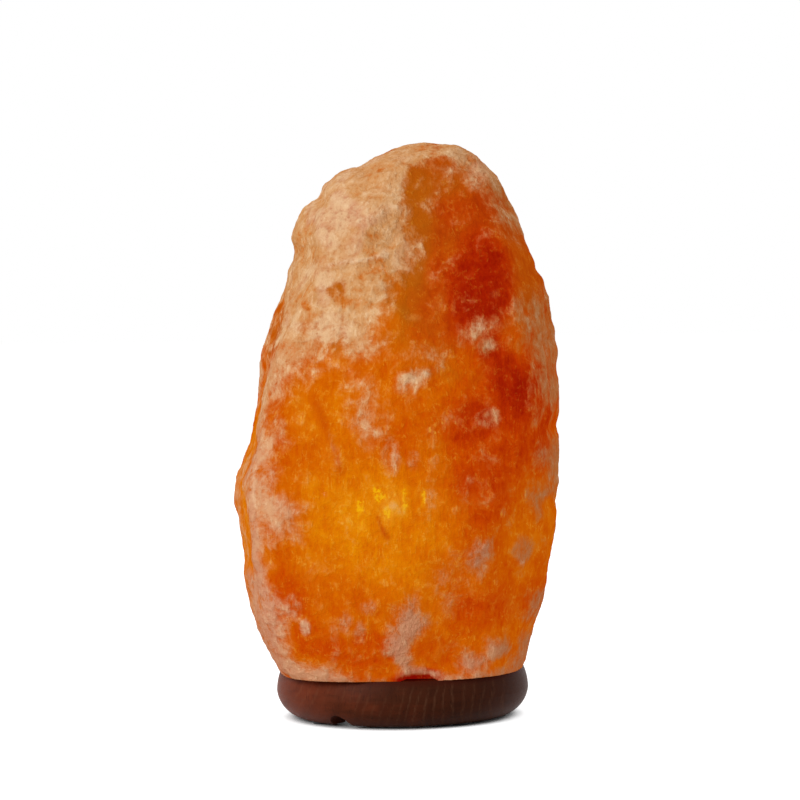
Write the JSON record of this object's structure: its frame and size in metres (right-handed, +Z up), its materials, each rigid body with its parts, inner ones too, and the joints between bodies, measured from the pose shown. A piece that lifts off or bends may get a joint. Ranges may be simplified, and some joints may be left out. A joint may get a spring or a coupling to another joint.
{
  "type": "salt crystal lamp",
  "caption": "Table lamp made of a rough-hewn salt crystal screwed to a turned round wooden base, lit from inside by a small screw-in bulb in a spring-clipped holder.",
  "frame": {"origin": "on the table, under the axis of the wooden base", "axes": "+Z up, -Y towards the side that the picture shows, +X to that side's right"},
  "size_m": [0.1425, 0.1248, 0.249],
  "materials": {
    "salt": "rough hewn rock salt, lit from inside",
    "walnut": "satin oiled",
    "felt": "felt",
    "zinc_steel": "zinc plated",
    "spring_steel": "blank spring strip",
    "white_plastic": "moulded",
    "insert_porcelain": "pressed",
    "nickel_shell": "nickel plated",
    "contact_brass": "bare",
    "black_glass": "vitrite",
    "solder": "solder",
    "bulb_glass": "clear, lit",
    "lead_wire": "drawn wire",
    "filament": "glowing"
  },
  "bodies": {
    "holder": {"flange_plate": "zinc_steel", "lock_washer": "zinc_steel", "nipple_nut": "zinc_steel", "holder_nipple": "zinc_steel", "cord_bushing": "white_plastic", "clip_saddle": "spring_steel", "holder_dome": "white_plastic", "outer_sleeve": "white_plastic", "contact_insert": "insert_porcelain", "screw_shell": "nickel_shell", "centre_contact": "contact_brass", "side_contact": "contact_brass", "terminals": "contact_brass", "terminal_screws": "zinc_steel"},
    "crystal_on_base": {"salt_crystal": "salt", "wooden_base": "walnut", "base_screws": "zinc_steel", "felt_pads": "felt"},
    "left_wing": {"clip_wing_left": "spring_steel"},
    "right_wing": {"clip_wing_right": "spring_steel"},
    "bulb_tip": {"bulb_contact": "solder"},
    "bulb": {"bulb_cap": "nickel_shell", "bulb_insulator": "black_glass", "bulb_glass": "bulb_glass", "bulb_stem": "bulb_glass", "bulb_leads": "lead_wire", "bulb_filament": "filament"}
  },
  "joints": [
    {"name": "crystal_lift", "type": "slide", "parent": "holder", "child": "crystal_on_base", "axis": [0, 0, 1], "range_m": [0, 0.11]},
    {"name": "wing_left", "type": "hinge", "parent": "holder", "child": "left_wing", "pos_m": [-0.01565, 0, 0.013], "axis": [0, 1, 0], "range_deg": [0, 14], "stiffness_Nm_per_rad": 0.1, "springref_deg": -11.46},
    {"name": "wing_right", "type": "hinge", "parent": "holder", "child": "right_wing", "pos_m": [0.01565, 0, 0.013], "axis": [0, -1, 0], "range_deg": [0, 14], "stiffness_Nm_per_rad": 0.1, "springref_deg": -11.46},
    {"name": "bulb_rise", "type": "slide", "parent": "holder", "child": "bulb_tip", "axis": [0, 0, 1], "range_m": [0, 0.0127]},
    {"name": "bulb_turn", "type": "hinge", "parent": "bulb_tip", "child": "bulb", "pos_m": [0, 0, 0.05], "axis": [0, 0, 1], "range_deg": [0, 1620]}
  ],
  "couplings": [
    {"joint": "bulb_rise", "follows": "bulb_turn", "m_per_rad": 0.00044882}
  ]
}
